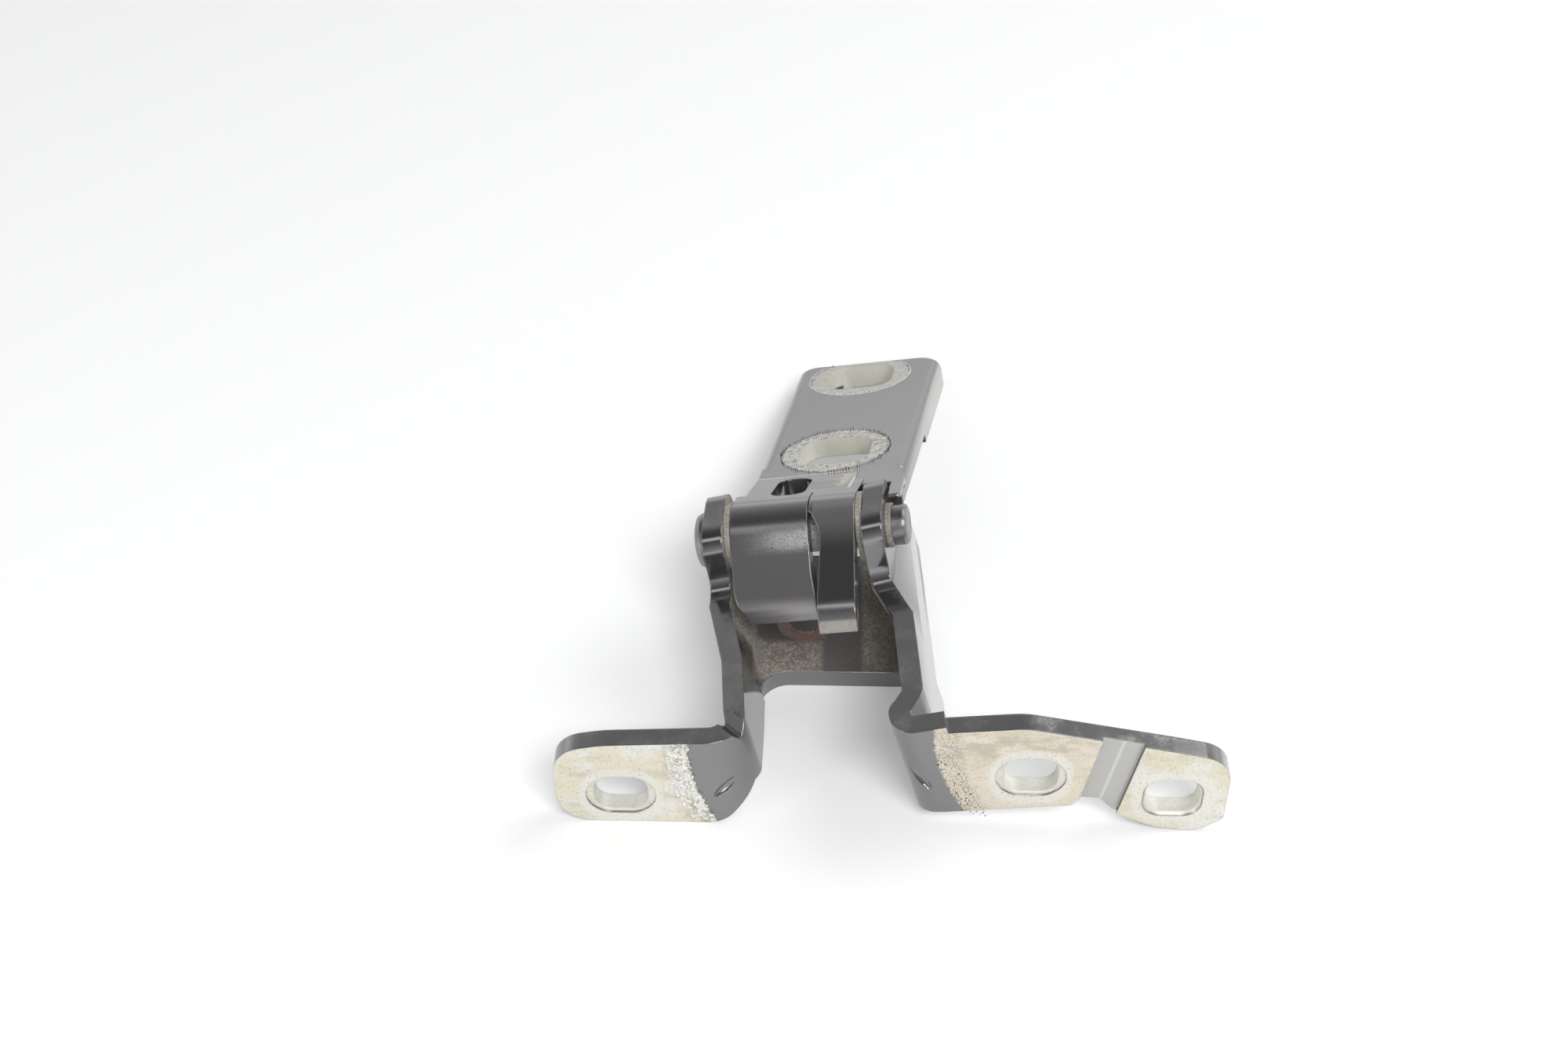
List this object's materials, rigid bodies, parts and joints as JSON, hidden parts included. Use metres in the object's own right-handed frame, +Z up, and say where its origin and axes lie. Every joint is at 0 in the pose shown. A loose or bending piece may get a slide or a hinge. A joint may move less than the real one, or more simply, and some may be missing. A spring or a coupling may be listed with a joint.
{
  "type": "boot lid hinge",
  "caption": "Pressed steel hinge for a car's boot lid: a folded body bracket with slotted feet, a riveted pin and a lid strap with hooked knuckles.",
  "frame": {"origin": "centre of the left body slot on the bolt face", "axes": "+X along the feet to the outer slot, +Y back from the bolt face along the lid strap, +Z up"},
  "size_m": [0.155, 0.1637, 0.0494],
  "materials": {
    "black_paint": "gloss, worn to bare metal at the bolt faces",
    "bare_steel": "dull, dusty"
  },
  "bodies": {
    "bracket": {"body_bracket": "black_paint", "hinge_pin": "black_paint", "washer_left": "bare_steel", "washer_right": "bare_steel", "end_collar": "bare_steel"},
    "strap": {"lid_strap": "black_paint", "pivot_bush": "bare_steel"}
  },
  "joints": [
    {"name": "lid_swing", "type": "hinge", "parent": "bracket", "child": "strap", "pos_m": [0.03818, 0.06107, 0.02715], "axis": [0.979, -0.0667, 0.1925], "range_deg": [-6, 95]}
  ]
}
